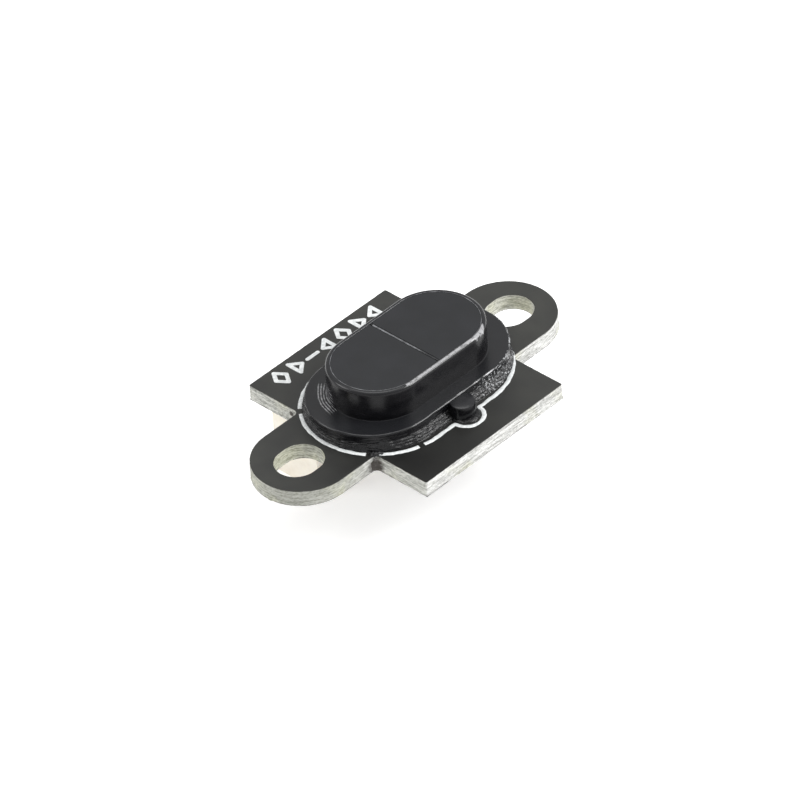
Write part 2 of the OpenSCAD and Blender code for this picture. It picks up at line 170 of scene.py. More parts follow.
def bridge(bm, first, second, closed=True):
    count = len(first)
    for i in range(count if closed else count - 1):
        j = (i + 1) % count
        bm.faces.new((first[i], first[j], second[j], second[i]))


def loft(bm, loops, cap_first=True, cap_last=True):
    """Joins closed loops that have the same number of points, and returns their verts."""
    rings = [[bm.verts.new(point) for point in loop] for loop in loops]
    for first, second in zip(rings, rings[1:]):
        bridge(bm, first, second)
    if cap_first:
        bm.faces.new(rings[0])
    if cap_last:
        bm.faces.new(rings[-1])
    return rings


def ring_edges(bm, ring):
    edges = []
    for a, b in zip(ring, ring[1:] + ring[:1]):
        edge = bm.edges.get((a, b))
        edges.append(edge if edge else bm.edges.new((a, b)))
    return edges


def fill_between(bm, rings):
    """Fills the flat area inside the first ring and outside the others."""
    edges = [e for ring in rings for e in ring_edges(bm, ring)]
    bmesh.ops.triangle_fill(bm, use_beauty=True, use_dissolve=False, edges=edges)


def arc_points(centre, radius, start, end, steps):
    """Points round an arc from one angle in degrees towards another, which it stops short of."""
    angles = [math.radians(start + (end - start) * i / steps) for i in range(steps)]
    return [(centre[0] + radius * math.cos(a), centre[1] + radius * math.sin(a)) for a in angles]


def oval(half_l, half_w, z, centre=(0.0, 0.0), arc=72, line=44):
    """Points round a stadium that is long along X, the same count for any size."""
    reach = half_l - half_w
    points = []
    for side in (1, -1):
        for i in range(arc + 1):
            angle = -side * math.pi / 2 + math.pi * i / arc
            x = side * reach + half_w * math.cos(angle)
            points.append((centre[0] + x, centre[1] + half_w * math.sin(angle), z))
        for i in range(1, line):
            x = side * reach * (1 - 2 * i / line)
            points.append((centre[0] + x, centre[1] + side * half_w, z))
    return points


def outside_oval(point, half_l, half_w, centre):
    """How far a point lies outside a stadium; negative inside it."""
    x, y = point[0] - centre[0], point[1] - centre[1]
    reach = half_l - half_w
    return math.hypot(x - max(-reach, min(reach, x)), y) - half_w


def rounded_rectangle(low, high, radius, z, corner=4):
    """Points round a rectangle with round corners, in the XY plane."""
    points = []
    corners = ((high.x, high.y, 0), (low.x, high.y, 90), (low.x, low.y, 180), (high.x, low.y, 270))
    for x, y, start in corners:
        inward = Vector((math.copysign(1, low.x + high.x - 2 * x), math.copysign(1, low.y + high.y - 2 * y)))
        centre = Vector((x, y)) + inward * radius
        for i in range(corner + 1):
            angle = math.radians(start + 90 * i / corner)
            points.append((centre.x + radius * math.cos(angle), centre.y + radius * math.sin(angle), z))
    return points


def add_mesh(bm, part):
    """Adds a finished mesh to another one, and frees it."""
    holder = bpy.data.meshes.new("part")
    part.to_mesh(holder)
    part.free()
    bm.from_mesh(holder)
    bpy.data.meshes.remove(holder)


def rounded_box(bm, low, high, radius, segments=3):
    """A closed box with rounded edges, bevelled in a mesh of its own so that each run gives one order."""
    middle, size = (low + high) / 2, high - low
    box = bmesh.new()
    bmesh.ops.create_cube(box, size=1.0, matrix=Matrix.Translation(middle) @ Matrix.Diagonal((*size, 1)))
    bmesh.ops.bevel(box, geom=box.edges[:], offset=radius, segments=segments, profile=0.5,
                    affect="EDGES", clamp_overlap=True)
    add_mesh(bm, box)


def wave(point, scale, octaves=3):
    """Smooth noise of about -1 to 1 at a point in mm; a larger scale gives finer noise."""
    return noise.fractal(Vector(point) * scale, 0.8, 2.1, octaves, noise_basis="PERLIN_ORIGINAL")


def displace(verts, amount):
    """Moves points along their normals by amount(point) in mm."""
    moves = [(v, v.normal.copy() * amount(v.co)) for v in verts]
    for v, move in moves:
        v.co += move


def smooth_step(low, high, value):
    t = min(1.0, max(0.0, (value - low) / (high - low)))
    return t * t * (3 - 2 * t)


# ------------------------------------------------------------------ material helpers

def new_material(name):
    material = bpy.data.materials.new(name)
    material.use_nodes = True
    tree = material.node_tree
    tree.nodes.clear()
    output = tree.nodes.new("ShaderNodeOutputMaterial")
    shader = tree.nodes.new("ShaderNodeBsdfPrincipled")
    tree.links.new(shader.outputs[0], output.inputs[0])
    return material, tree, shader


def put(tree, socket, value):
    if isinstance(value, bpy.types.NodeSocket):
        tree.links.new(value, socket)
    elif isinstance(value, (tuple, list)) and len(value) == 3 and len(socket.default_value) == 4:
        socket.default_value = (*value, 1)
    else:
        socket.default_value = value


def dress(tree, shader, colour, roughness):
    put(tree, shader.inputs["Base Color"], colour)
    put(tree, shader.inputs["Roughness"], roughness)


def choose(tree, output, share, first, second):
    """Shows the second shader where share is 1, and the first one elsewhere."""
    node = tree.nodes.new("ShaderNodeMixShader")
    for socket, value in zip(node.inputs, (share, first, second)):
        tree.links.new(value, socket)
    tree.links.new(node.outputs[0], output.inputs[0])


def position(tree, stretch=(1, 1, 1)):
    """The place in mm, stretched so that a pattern can run along one direction."""
    coordinates = tree.nodes.new("ShaderNodeTexCoord")
    mapping = tree.nodes.new("ShaderNodeMapping")
    mapping.inputs["Scale"].default_value = [s / MM for s in stretch]
    tree.links.new(coordinates.outputs["Object"], mapping.inputs["Vector"])
    return mapping.outputs[0]


def grain(tree, scale, detail=3.0, roughness=0.55, stretch=(1, 1, 1)):
    """Noise from 0 to 1 whose features are about 1 / scale mm wide."""
    texture = tree.nodes.new("ShaderNodeTexNoise")
    put(tree, texture.inputs["Vector"], position(tree, stretch))
    texture.inputs["Scale"].default_value = scale
    texture.inputs["Detail"].default_value = detail
    texture.inputs["Roughness"].default_value = roughness
    return texture.outputs[0]


def remap(tree, value, from_low, from_high, to_low, to_high):
    node = tree.nodes.new("ShaderNodeMapRange")
    put(tree, node.inputs["Value"], value)
    node.inputs["From Min"].default_value = from_low
    node.inputs["From Max"].default_value = from_high
    node.inputs["To Min"].default_value = to_low
    node.inputs["To Max"].default_value = to_high
    return node.outputs[0]


def blend_colour(tree, share, first, second):
    node = tree.nodes.new("ShaderNodeMix")
    node.data_type = "RGBA"
    put(tree, node.inputs["Factor"], share)
    put(tree, node.inputs[6], first)
    put(tree, node.inputs[7], second)
    return node.outputs[2]


def calculate(tree, operation, first, second):
    node = tree.nodes.new("ShaderNodeMath")
    node.operation = operation
    put(tree, node.inputs[0], first)
    put(tree, node.inputs[1], second)
    return node.outputs[0]


def painted(tree, name):
    """A value from 0 to 1 that was painted on the mesh's points."""
    node = tree.nodes.new("ShaderNodeAttribute")
    node.attribute_name = name
    return node.outputs["Fac"]


def facing(tree, axis):
    """How far the surface faces along an axis, from -1 to 1."""
    geometry = tree.nodes.new("ShaderNodeNewGeometry")
    split = tree.nodes.new("ShaderNodeSeparateXYZ")
    tree.links.new(geometry.outputs["Normal"], split.inputs[0])
    return split.outputs[axis]


def relief(tree, shader, height, depth_mm, strength=1.0):
    """Bump from a height of 0 to 1 that stands for depth_mm."""
    node = tree.nodes.new("ShaderNodeBump")
    node.inputs["Strength"].default_value = strength
    node.inputs["Distance"].default_value = depth_mm * MM
    put(tree, node.inputs["Height"], height)
    tree.links.new(node.outputs[0], shader.inputs["Normal"])


# ------------------------------------------------------------------ materials

def add_painted_glints(tree, colour):
    """Adds pale specks where the share set on the mesh points allows: painted glints of light on rough, shiny
    glue.
    """
    glinting = calculate(tree, "MULTIPLY", painted(tree, "glint"), grain(tree, 6.5, 4, 0.75))
    return blend_colour(tree, remap(tree, glinting, 0.54, 0.60, 0, 1), colour, (0.42, 0.43, 0.44))


def mask_material():
    """Matt black solder mask: fine grain, faint clouds, and painted shade that darkens it towards the glued
    corner.
    """
    material, tree, shader = new_material("solder_mask")
    cloud = remap(tree, grain(tree, 0.35, 4), 0.35, 0.65, 0, 1)
    colour = blend_colour(tree, cloud, (0.024, 0.0245, 0.023), (0.036, 0.0365, 0.032))
    # Painted shade: the colour darkens towards a spot near the glued corner at the front edge.
    away = tree.nodes.new("ShaderNodeVectorMath")
    away.operation = "DISTANCE"
    put(tree, away.inputs[0], position(tree))
    away.inputs[1].default_value = MASK_SHADE_CENTRE
    far = remap(tree, away.outputs["Value"], 0.5, 9.0, 0, 1)
    colour = blend_colour(tree, far, (0.006, 0.006, 0.0055), colour)
    dress(tree, shader, colour, remap(tree, grain(tree, 1.4, 4), 0.3, 0.7, 0.36, 0.5))
    put(tree, shader.inputs["Specular IOR Level"], remap(tree, far, 0, 1, 0.36, 0.56))
    relief(tree, shader, grain(tree, 14, 3), 0.006, 0.6)
    return material


def ink_material():
    """White screen-printed ink, slightly thin and grey in places."""
    material, tree, shader = new_material("white_ink")
    thin = remap(tree, grain(tree, 5, 4), 0.42, 0.62, 0, 1)
    colour = blend_colour(tree, thin, (0.70, 0.725, 0.725), (0.88, 0.90, 0.90))
    dress(tree, shader, colour, 0.55)
    relief(tree, shader, grain(tree, 18, 3), 0.008, 0.7)
    return material


def laminate_material():
    """Routed glass-fibre laminate: pale layers, yellower in the slots, lit and shaded copies of its colour by
    facing (painted light and shade), darker on the -X ear.
    """
    material, tree, shader = new_material("laminate")
    layers = grain(tree, 1.0, 5, 0.7, stretch=(0.7, 0.7, 11))
    fibres = grain(tree, 1.0, 4, 0.6, stretch=(5, 5, 16))
    pattern = calculate(tree, "ADD", calculate(tree, "MULTIPLY", layers, 0.55),
                        calculate(tree, "MULTIPLY", fibres, 0.45))
    share = remap(tree, pattern, 0.41, 0.57, 0, 1)
    lit_side_colour = blend_colour(tree, share, (0.25, 0.25, 0.235), (0.72, 0.72, 0.70))
    shaded_side_colour = blend_colour(tree, share, (0.19, 0.195, 0.17), (0.60, 0.60, 0.56))
    resin = blend_colour(tree, share, (0.24, 0.245, 0.16), (0.62, 0.62, 0.49))
    place = tree.nodes.new("ShaderNodeSeparateXYZ")
    put(tree, place.inputs[0], position(tree))
    # Darker towards the -X ear.
    toward_minus_x_ear = remap(tree, place.outputs["X"], -5.6, -7.6, 0, 1)
    # Faces turned towards -Y get the lit copy and the others the darker shaded copy: painted light and shade.
    lit_side_share = remap(tree, facing(tree, 1), -0.15, -0.85, 0, 1)
    lit_side_share = calculate(tree, "MULTIPLY", lit_side_share, remap(tree, toward_minus_x_ear, 0, 1, 1, 0.25))
    pale = blend_colour(tree, lit_side_share, shaded_side_colour, lit_side_colour)
    pale = blend_colour(tree, calculate(tree, "MULTIPLY", toward_minus_x_ear, 0.45), pale, (0.17, 0.175, 0.13))
    tint = remap(tree, grain(tree, 0.42, 3), 0.54, 0.68, 0, 0.55)
    patchy = remap(tree, grain(tree, 0.5, 2), 0.4, 0.6, 0.15, 0.75)
    bare = calculate(tree, "MULTIPLY", painted(tree, "in_slot"), patchy)
    yellow = calculate(tree, "MAXIMUM", bare, tint)
    colour = blend_colour(tree, yellow, pale, resin)
    stain_share = remap(tree, calculate(tree, "MULTIPLY", painted(tree, "stain"), grain(tree, 6, 4, 0.7)),
                        0.10, 0.40, 0, 0.97)
    colour = blend_colour(tree, stain_share, colour, (0.028, 0.020, 0.014))
    mortar = remap(tree, grain(tree, 1.0, 3, 0.7, stretch=(3.5, 3.5, 24)), 0.66, 0.72, 0, 0.55)
    colour = blend_colour(tree, mortar, colour, (0.10, 0.10, 0.09))
    dress(tree, shader, colour, 0.55)
    relief(tree, shader, pattern, 0.03, 0.7)
    return material


def housing_material():
    """Black moulding, semi-gloss, with smears and fine scratches; lighter on upward faces as painted light,
    with pale streaks and painted highlights set on the mesh.
    """
    material, tree, shader = new_material("black_moulding")
    smear = remap(tree, grain(tree, 0.9, 5, 0.6, stretch=(1, 1, 2.5)), 0.35, 0.65, 0, 1)
    colour = blend_colour(tree, smear, (0.004, 0.004, 0.005), (0.008, 0.0078, 0.009))
    # Upward faces get a lighter colour and more specular: the lighter colour is painted light.
    level = remap(tree, facing(tree, 2), 0.2, 0.95, 0, 1)
    colour = blend_colour(tree, level, colour, (0.013, 0.0135, 0.0155))
    # Pale grey where the streak attribute is set on the mesh: streaks round the -X end and at the foot of the
    # boss, and painted highlights on the -Y edges of the flange and under the rim.
    streaks = calculate(tree, "MULTIPLY", painted(tree, "streak_and_highlight"), grain(tree, 5.0, 4, 0.65))
    streak_and_highlight_share = remap(tree, streaks, 0.22, 0.52, 0, 1)
    colour = blend_colour(tree, streak_and_highlight_share, colour, (0.40, 0.40, 0.41))
    colour = add_painted_glints(tree, colour)
    dress(tree, shader, colour, remap(tree, smear, 0, 1, 0.2, 0.27))
    put(tree, shader.inputs["Specular IOR Level"], remap(tree, level, 0, 1, 0.22, 0.6))
    relief(tree, shader, grain(tree, 22, 3), 0.004, 0.5)
    return material


def window_material():
    """Dark infrared filter plate: smooth, slate grey, with faint dust."""
    material, tree, shader = new_material("dark_filter")
    haze = remap(tree, grain(tree, 0.5, 3), 0.35, 0.65, 0, 1)
    colour = blend_colour(tree, haze, (0.012, 0.013, 0.015), (0.015, 0.016, 0.019))
    dust = remap(tree, grain(tree, 26, 2, 0.4), 0.74, 0.8, 0, 0.35)
    colour = blend_colour(tree, dust, colour, (0.08, 0.08, 0.085))
    dress(tree, shader, colour, remap(tree, haze, 0, 1, 0.2, 0.26))
    shader.inputs["IOR"].default_value = 1.56
    relief(tree, shader, grain(tree, 0.8, 2), 0.004, 0.3)
    return material


def glue_material():
    """Glossy black adhesive with a rough, beaded surface."""
    material, tree, shader = new_material("black_glue")
    lumps = grain(tree, 6.5, 4, 0.6, stretch=(1, 1, 1.8))
    high_spots = remap(tree, lumps, 0.4, 0.7, 0, 1)
    colour = blend_colour(tree, high_spots, (0.004, 0.004, 0.005), (0.012, 0.012, 0.013))
    colour = add_painted_glints(tree, colour)
    dress(tree, shader, colour, remap(tree, grain(tree, 3, 3), 0.3, 0.7, 0.1, 0.34))
    relief(tree, shader, lumps, 0.05, 0.8)
    return material


def bead_material():
    """Cured bond squeezed out along the light wall and round the windows: pale in places, broken in places;
    round the windows the pale is a painted highlight.
    """
    material, tree, shader = new_material("bond_bead")
    broken = remap(tree, grain(tree, 2.2, 4, 0.7), 0.4, 0.6, 0.25, 1)
    share = calculate(tree, "MULTIPLY", painted(tree, "pale"), broken)
    colour = blend_colour(tree, share, (0.010, 0.010, 0.012), (0.26, 0.265, 0.28))
    dress(tree, shader, colour, 0.3)
    return material


def nylon_material():
    """Natural cream nylon, satin, faintly mottled and translucent."""
    material, tree, shader = new_material("cream_nylon")
    mottle = remap(tree, grain(tree, 0.9, 4), 0.35, 0.65, 0, 1)
    colour = blend_colour(tree, mottle, (0.86, 0.80, 0.69), (0.93, 0.88, 0.78))
    dress(tree, shader, colour, remap(tree, grain(tree, 2.5, 3), 0.3, 0.7, 0.38, 0.52))
    shader.inputs["Subsurface Weight"].default_value = 0.12
    shader.inputs["Subsurface Radius"].default_value = (0.0006, 0.0005, 0.0003)
    shader.inputs["Subsurface Scale"].default_value = 1.0
    relief(tree, shader, grain(tree, 16, 3), 0.008, 0.5)
    return material


def toned_material(name, metallic, dark, bright, rough_dark, rough_bright, scale, depth):
    """A metal, mineral or plastic whose tone and gloss drift over its surface."""
    material, tree, shader = new_material(name)
    tone = remap(tree, grain(tree, scale, 4), 0.32, 0.68, 0, 1)
    fineness, strength = (5, 0.5) if metallic else (6, 0.6)
    colour = blend_colour(tree, tone, dark, bright)
    dress(tree, shader, colour, remap(tree, tone, 0, 1, rough_dark, rough_bright))
    shader.inputs["Metallic"].default_value = metallic
    relief(tree, shader, grain(tree, scale * fineness, 3), depth, strength)
    return material


# Metallic or not, dark tone, bright tone, their two roughnesses, pattern scale, relief in mm
TONED = {
    "gold_plate": (1, (0.72, 0.50, 0.20), (0.88, 0.68, 0.34), 0.38, 0.22, 3, 0.004),
    "solder": (1, (0.48, 0.49, 0.50), (0.72, 0.73, 0.74), 0.36, 0.18, 2.5, 0.012),
    "tinned_metal": (1, (0.50, 0.50, 0.51), (0.68, 0.68, 0.69), 0.46, 0.3, 5, 0.006),
    "bond": (0, (0.10, 0.10, 0.095), (0.16, 0.16, 0.15), 0.3, 0.5, 3, 0.01),
    "foam": (0, (0.010, 0.010, 0.010), (0.022, 0.022, 0.022), 0.8, 0.95, 9, 0.04),
    "chip_laminate": (0, (0.02, 0.06, 0.028), (0.035, 0.09, 0.04), 0.4, 0.55, 4, 0.01),
    "package_black": (0, (0.016, 0.016, 0.018), (0.028, 0.028, 0.030), 0.5, 0.62, 7, 0.012),
    "silicon": (0, (0.06, 0.055, 0.09), (0.12, 0.11, 0.15), 0.1, 0.2, 6, 0.002),
    "capacitor_ceramic": (0, (0.30, 0.19, 0.10), (0.42, 0.28, 0.16), 0.4, 0.55, 6, 0.01),
    "alumina": (0, (0.74, 0.74, 0.71), (0.84, 0.84, 0.81), 0.45, 0.6, 6, 0.008),
    "resistor_glaze": (0, (0.010, 0.010, 0.012), (0.022, 0.022, 0.024), 0.2, 0.34, 5, 0.008),
    "ferrite": (0, (0.030, 0.028, 0.026), (0.06, 0.056, 0.052), 0.45, 0.62, 6, 0.02),
}


def make_materials():
    materials = {
        "laminate": laminate_material(),
        "solder_mask": mask_material(),
        "white_ink": ink_material(),
        "black_moulding": housing_material(),
        "dark_filter": window_material(),
        "black_glue": glue_material(),
        "bond_bead": bead_material(),
        "cream_nylon": nylon_material(),
    }
    for name, look in TONED.items():
        materials[name] = toned_material(name, *look)
    return materials


MATERIALS = make_materials()


# ------------------------------------------------------------------ circuit board

class Board:
    """The board's outline, read from the frame."""

    def __init__(self):
        low, high = box_mm("circuit_board")
        points = [v.co / MM for v in frame["nodes"]["circuit_board"].data.vertices]
        mounts = {m["name"]: m for m in frame["record"]["mounts"]}
        dims = mounts["mounting_holes"]["dims"]
        self.half_l = high.x
        self.half_w = high.y
        self.low_z, self.high_z = low.z, high.z
        self.top = box_mm("solder_mask_front")[1].z
        self.bottom = box_mm("solder_mask_back")[0].z
        self.body_x = max(p.x for p in points if p.y > high.y - 0.01)
        self.ear_w = max(p.y for p in points if p.x > self.body_x + 1.0)
        self.slot_x = dims["spacing_x_mm"] / 2
        self.slot_l = dims["slot_length_mm"] / 2
        self.slot_w = dims["hole_r_mm"]

    def quarter(self, inset):
        """The outline's +X +Y quarter, from the ear's tip to the middle of the long edge."""
        ear_centre = self.half_l - self.ear_w
        ear_r = self.ear_w - inset
        corner_x, corner_y = self.body_x + INNER_CORNER_R, self.ear_w + INNER_CORNER_R
        radius = max(OUTER_CORNER_R - inset, 0.002)
        x_edge, y_edge = self.body_x - inset, self.half_w - inset
        points = arc_points((ear_centre, 0), ear_r, 0, 90, 44)
        for i in range(24):
            points.append((ear_centre + (corner_x - ear_centre) * i / 24, ear_r))
        points += arc_points((corner_x, corner_y), INNER_CORNER_R + inset, 270, 180, 8)
        for i in range(32):
            points.append((x_edge, corner_y + (y_edge - radius - corner_y) * i / 32))
        points += arc_points((x_edge - radius, y_edge - radius), radius, 0, 90, 6)
        for i in range(52):
            points.append(((x_edge - radius) * (1 - i / 52), y_edge))
        points.append((0.0, y_edge))
        return points

    def outline(self, inset, z):
        first = self.quarter(inset)
        second = [(-x, y) for x, y in reversed(first)][1:]
        upper = first + second
        lower = [(x, -y) for x, y in reversed(upper)][1:-1]
        return [(x, y, z) for x, y in upper + lower]

    def slot(self, side, grow, z):
        centre = (side * self.slot_x, 0.0)
        return oval(self.slot_l + grow, self.slot_w + grow, z, centre, arc=48, line=3)


board = Board()


def glue_corner():
    """The inner corner of the board where the glue overflowed."""
    return Vector((-board.body_x, -board.ear_w, 0))


def stain_at(point):
    """How dark the routed edge is: burnt at the glued corner, and one spot at the far corner."""
    corner = glue_corner()
    burnt = Vector((corner.x, corner.y, 0.62 * board.low_z))
    spot = Vector((corner.x, -corner.y + 0.55, 0.4 * board.low_z))
    return max(1 - smooth_step(0.15, 0.9, (point - burnt).length),
               1.4 * (1 - smooth_step(0.06, 0.22, (point - spot).length)))


def build_board_core():
    """Laminate core with a routed, layered edge."""
    bm = bmesh.new()
    slot_layer = bm.verts.layers.float.new("in_slot")
    stain_layer = bm.verts.layers.float.new("stain")
    rows = 16
    heights = [board.low_z + (board.high_z - board.low_z) * i / rows for i in range(rows + 1)]
    walls = [loft(bm, [board.outline(0, z) for z in heights], False, False)]
    for side in (-1, 1):
        walls.append(loft(bm, [board.slot(side, 0, z) for z in heights], False, False))
    fill_between(bm, [wall[0] for wall in walls])
    fill_between(bm, [wall[-1] for wall in walls])
    bmesh.ops.recalc_face_normals(bm, faces=bm.faces)
    bm.normal_update()

    for wall in walls[1:]:
        for ring in wall:
            for v in ring:
                v[slot_layer] = 1.0
    for ring in walls[0]:
        for v in ring:
            v[stain_layer] = stain_at(v.co)

    def routed(point):
        layer = wave((point.x * 1.2, point.y * 1.2, point.z * 11), 1.0, 4)
        nick = wave(point, 5.0, 3)
        burr = smooth_step(-0.72, -0.95, point.z) * max(0.0, wave(point, 2.2, 2)) * 0.09
        return 0.016 * layer + 0.012 * nick + burr

    for wall in walls:
        side_verts = [v for ring in wall for v in ring]
        flat = [(v, Vector((v.normal.x, v.normal.y, 0)).normalized()) for v in side_verts]
        for v, outward in flat:
            v.co += outward * routed(v.co)
    return make_piece("board_core", bm, MATERIALS["laminate"], ["circuit_board"], 50)


def build_mask(name, node, face_z, inner_z):
    """A thin mask layer with a softly rounded, slightly ragged outer lip."""
    bm = bmesh.new()
    up = 1 if face_z > inner_z else -1
    thickness = abs(face_z - inner_z)
    steps = [(0.0, 0.0), (0.0, 0.55), (0.012, 0.88), (0.04, 1.0), (0.17, 1.0), (0.24, 1.0)]

    def layer(loop_of):
        rings = []
        for inset, share in steps:
            ring = []
            for x, y, z in loop_of(inset + 0.006, inner_z + up * thickness * share):
                ragged = 0.018 * wave((x, y, 0), 3.2, 3) if inset < 0.1 else 0.0
                away = Vector((x, y, 0))
                shift = away.normalized() * ragged if away.length else away
                ring.append((x - shift.x, y - shift.y, z))
            rings.append(ring)
        return loft(bm, rings, False, False)

    walls = [layer(board.outline)]
    for side in (-1, 1):
        walls.append(layer(lambda grow, z, side=side: board.slot(side, grow, z)))
    fill_between(bm, [wall[0] for wall in walls])
    fill_between(bm, [wall[-1] for wall in walls])
    return make_piece(name, bm, MATERIALS["solder_mask"], [node], 60)


# ------------------------------------------------------------------ printed ink

def ribbon(bm, points, closed, width, height, z, seed, ragged=0.02):
    """A flat printed line along points in the XY plane, with uneven edges and soft shoulders."""
    count = len(points)
    sections = []
    for i, point in enumerate(points):
        before = points[(i - 1) % count] if closed or i > 0 else point
        after = points[(i + 1) % count] if closed or i < count - 1 else point
        along = Vector((after[0] - before[0], after[1] - before[1]))
        if along.length < 1e-6:
            along = Vector((1, 0))
        along.normalize()
        across = Vector((-along.y, along.x))
        left = width / 2 + ragged * wave((point[0], point[1], seed), 2.6, 3)
        right = width / 2 + ragged * wave((point[0], point[1], seed + 7), 2.6, 3)
        shoulder = min(0.05, width / 4)
        profile = ((-left, 0), (-left + shoulder, 1), (right - shoulder, 1), (right, 0))
        middle = Vector((point[0], point[1]))
        section = []
        for offset, share in profile:
            place = middle + across * offset
            section.append(bm.verts.new((place.x, place.y, z + height * share)))
        sections.append(section)
    pairs = list(zip(sections, sections[1:]))
    if closed:
        pairs.append((sections[-1], sections[0]))
    for first, second in pairs:
        for k in range(4):
            m = (k + 1) % 4
            bm.faces.new((first[k], first[m], second[m], second[k]))
    if not closed:
        bm.faces.new(sections[0])
        bm.faces.new(list(reversed(sections[-1])))


def silk_path():
    """Centre line of the printed oval, with the bump round the housing's lug."""
    points = oval(*SILK_HALF, 0, SILK_CENTRE, arc=120, line=100)
    edge_y = SILK_CENTRE[1] - SILK_HALF[1]
    kept = [p for p in points if p[1] > 0 or math.dist(p[:2], BUMP_CENTRE) > BUMP_R]
    on_edge = [i for i, p in enumerate(kept) if p[1] < edge_y + 0.01 and p[0] < BUMP_CENTRE[0]]
    last = max(on_edge, key=lambda i: kept[i][0])
    kept = kept[last + 1:] + kept[:last + 1]
    bump = []
    for i in range(1, 40):
        angle = math.radians(180 + 180 * i / 40)
        x = BUMP_CENTRE[0] + BUMP_R * math.cos(angle)
        bump.append((x, min(BUMP_CENTRE[1] + BUMP_R * math.sin(angle), edge_y), 0))
    return kept + bump


def build_front_ink():
    """The printed oval, with its gaps, and the row of generic marks."""
    bm = bmesh.new()
    _, top = box_mm("silkscreen_front")
    height = top.z

    def covered(point):
        broken = any(math.dist(point[:2], place) < radius for place, radius in INK_GAPS)
        return broken or outside_oval(point, *housing.flange, housing.centre) < -0.1

    runs, current = [], []
    for point in silk_path():
        if covered(point):
            if len(current) > 3:
                runs.append(current)
            current = []
        else:
            wobble = 0.03 * wave((point[0], point[1], 3), 0.9, 2)
            away = Vector((point[0], point[1], 0)).normalized() * wobble
            current.append((point[0] + away.x, point[1] + away.y, 0))
    if current and runs:
        runs[0] = current + runs[0]
    elif current:
        runs.append(current)
    for index, run in enumerate(runs):
        ribbon(bm, run, False, INK_LINE, height, 0, index * 3.0, 0.03)

    marks = welded("silkscreen_front")
    groups = islands(marks)
    row_y = SILK_CENTRE[1] + SILK_HALF[1] + INK_LINE
    printed_oval = [v for group in groups if min(p.co.y for p in group) < row_y for v in group]
    bmesh.ops.delete(marks, geom=printed_oval, context="VERTS")
    bmesh.ops.subdivide_edges(marks, edges=marks.edges, cuts=1)
    for v in marks.verts:
        v.co.x += 0.012 * wave(v.co, 3.0, 2)
        v.co.y += 0.012 * wave(v.co + Vector((5, 5, 5)), 3.0, 2)
    add_mesh(bm, marks)
    return make_piece("front_ink", bm, MATERIALS["white_ink"], ["silkscreen_front"], 50)


# ------------------------------------------------------------------ optical housing

class Housing:
    """The housing's steps, read from the frame."""

    def __init__(self):
        low, high = box_mm("optical_housing")
        self.centre = ((low.x + high.x) / 2, 0.0)
        self.top = high.z
        wall_low, wall_high = extent("optical_housing", high.z - 0.6, high.z - 0.1)
        rim_low, rim_high = extent("optical_housing", high.z - 0.005, high.z + 0.005)
        self.flange = ((high.x - low.x) / 2, high.y)
        self.boss = ((wall_high.x - wall_low.x) / 2, wall_high.y)
        self.rim = ((rim_high.x - rim_low.x) / 2, rim_high.y)
        self.chamfer_z = wall_high.z
        heights = sorted({round(v.co.z / MM, 3) for v in frame["nodes"]["optical_housing"].data.vertices})
        self.flange_z = max(z for z in heights if z < 1.2)
        self.ledge_z = box_mm("window_adhesive")[0].z
        emitter_low, emitter_high = box_mm("emitter_window")
        receiver_low, receiver_high = box_mm("receiver_window")
        self.window_top = emitter_high.z
        self.window_low = emitter_low.z
        self.window = ((receiver_high.x - emitter_low.x) / 2, emitter_high.y)
        self.web_x = (emitter_high.x + receiver_low.x) / 2
        self.split = (receiver_low.x - emitter_high.x) / 2
        self.arc_x = self.centre[0] - (self.boss[0] - self.boss[1])

    def ring(self, size, z, inset=0.0):
        return oval(size[0] - inset, size[1] - inset, z, self.centre)

    def between(self, share, z):
        """A ring between the boss (0) and the flange's edge (1)."""
        size = [b + (f - b) * share for b, f in zip(self.boss, self.flange)]
        return self.ring(size, z)


housing = Housing()


def end_streaks(x, y):
    """How strongly the streaks round the -X end show at a place on the flange, from 0 to 1."""
    x -= housing.arc_x
    radius, angle = math.hypot(x, y), math.degrees(math.atan2(y, x))
    along = smooth_step(112, 130, angle) * (1 - smooth_step(164, 180, angle))
    across = 1 - smooth_step(3.3, 3.55, radius)
    streak = 0.5 + 0.5 * math.sin(radius * 2 * math.pi / 0.15 + 2.8 * wave((x, y, 2), 0.8, 2))
    return along * across * (0.2 + 0.8 * streak)


def wall_streaks(x, y, z):
    """How strongly the streaks that climb the foot of the boss show on its -X end, from 0 to 1."""
    angle = math.degrees(math.atan2(y, x - housing.arc_x))
    along = smooth_step(100, 128, angle) * (1 - smooth_step(158, 176, angle))
    low = 1 - smooth_step(1.5, 2.3, z + 0.25 * wave((x, y, 7), 1.5, 2))
    streak = 0.5 + 0.5 * math.sin(z * 2 * math.pi / 0.2 + 3.0 * wave((x, y, 5), 1.0, 2))
    return along * low * streak


def rim_highlight_depth(x, y):
    """How far the painted highlight under the rim reaches down the -Y wall, in mm, with two drips."""
    if y > 0:
        return 0.0
    along = smooth_step(-2.8, -2.3, x) * (1 - smooth_step(3.6, 4.1, x))
    depth = 0.055 + 0.13 * smooth_step(2.2, 3.5, x) + 0.03 * wave((x, 0, 1), 3.5, 3)
    drips = sum(drop * math.exp(-((x - place) / 0.08) ** 2)
                for place, drop in ((2.9, 0.2), (3.3, 0.12), (3.6, 0.25)))
    return along * max(0.0, depth + drips)


def glint_share(x, y):
    """How many pale specks are painted on as glints, more on the -Y side and towards +X, from 0 to 1."""
    return (0.72 + 0.28 * smooth_step(-0.5, 3.0, x)) if y < 0 else 0.5


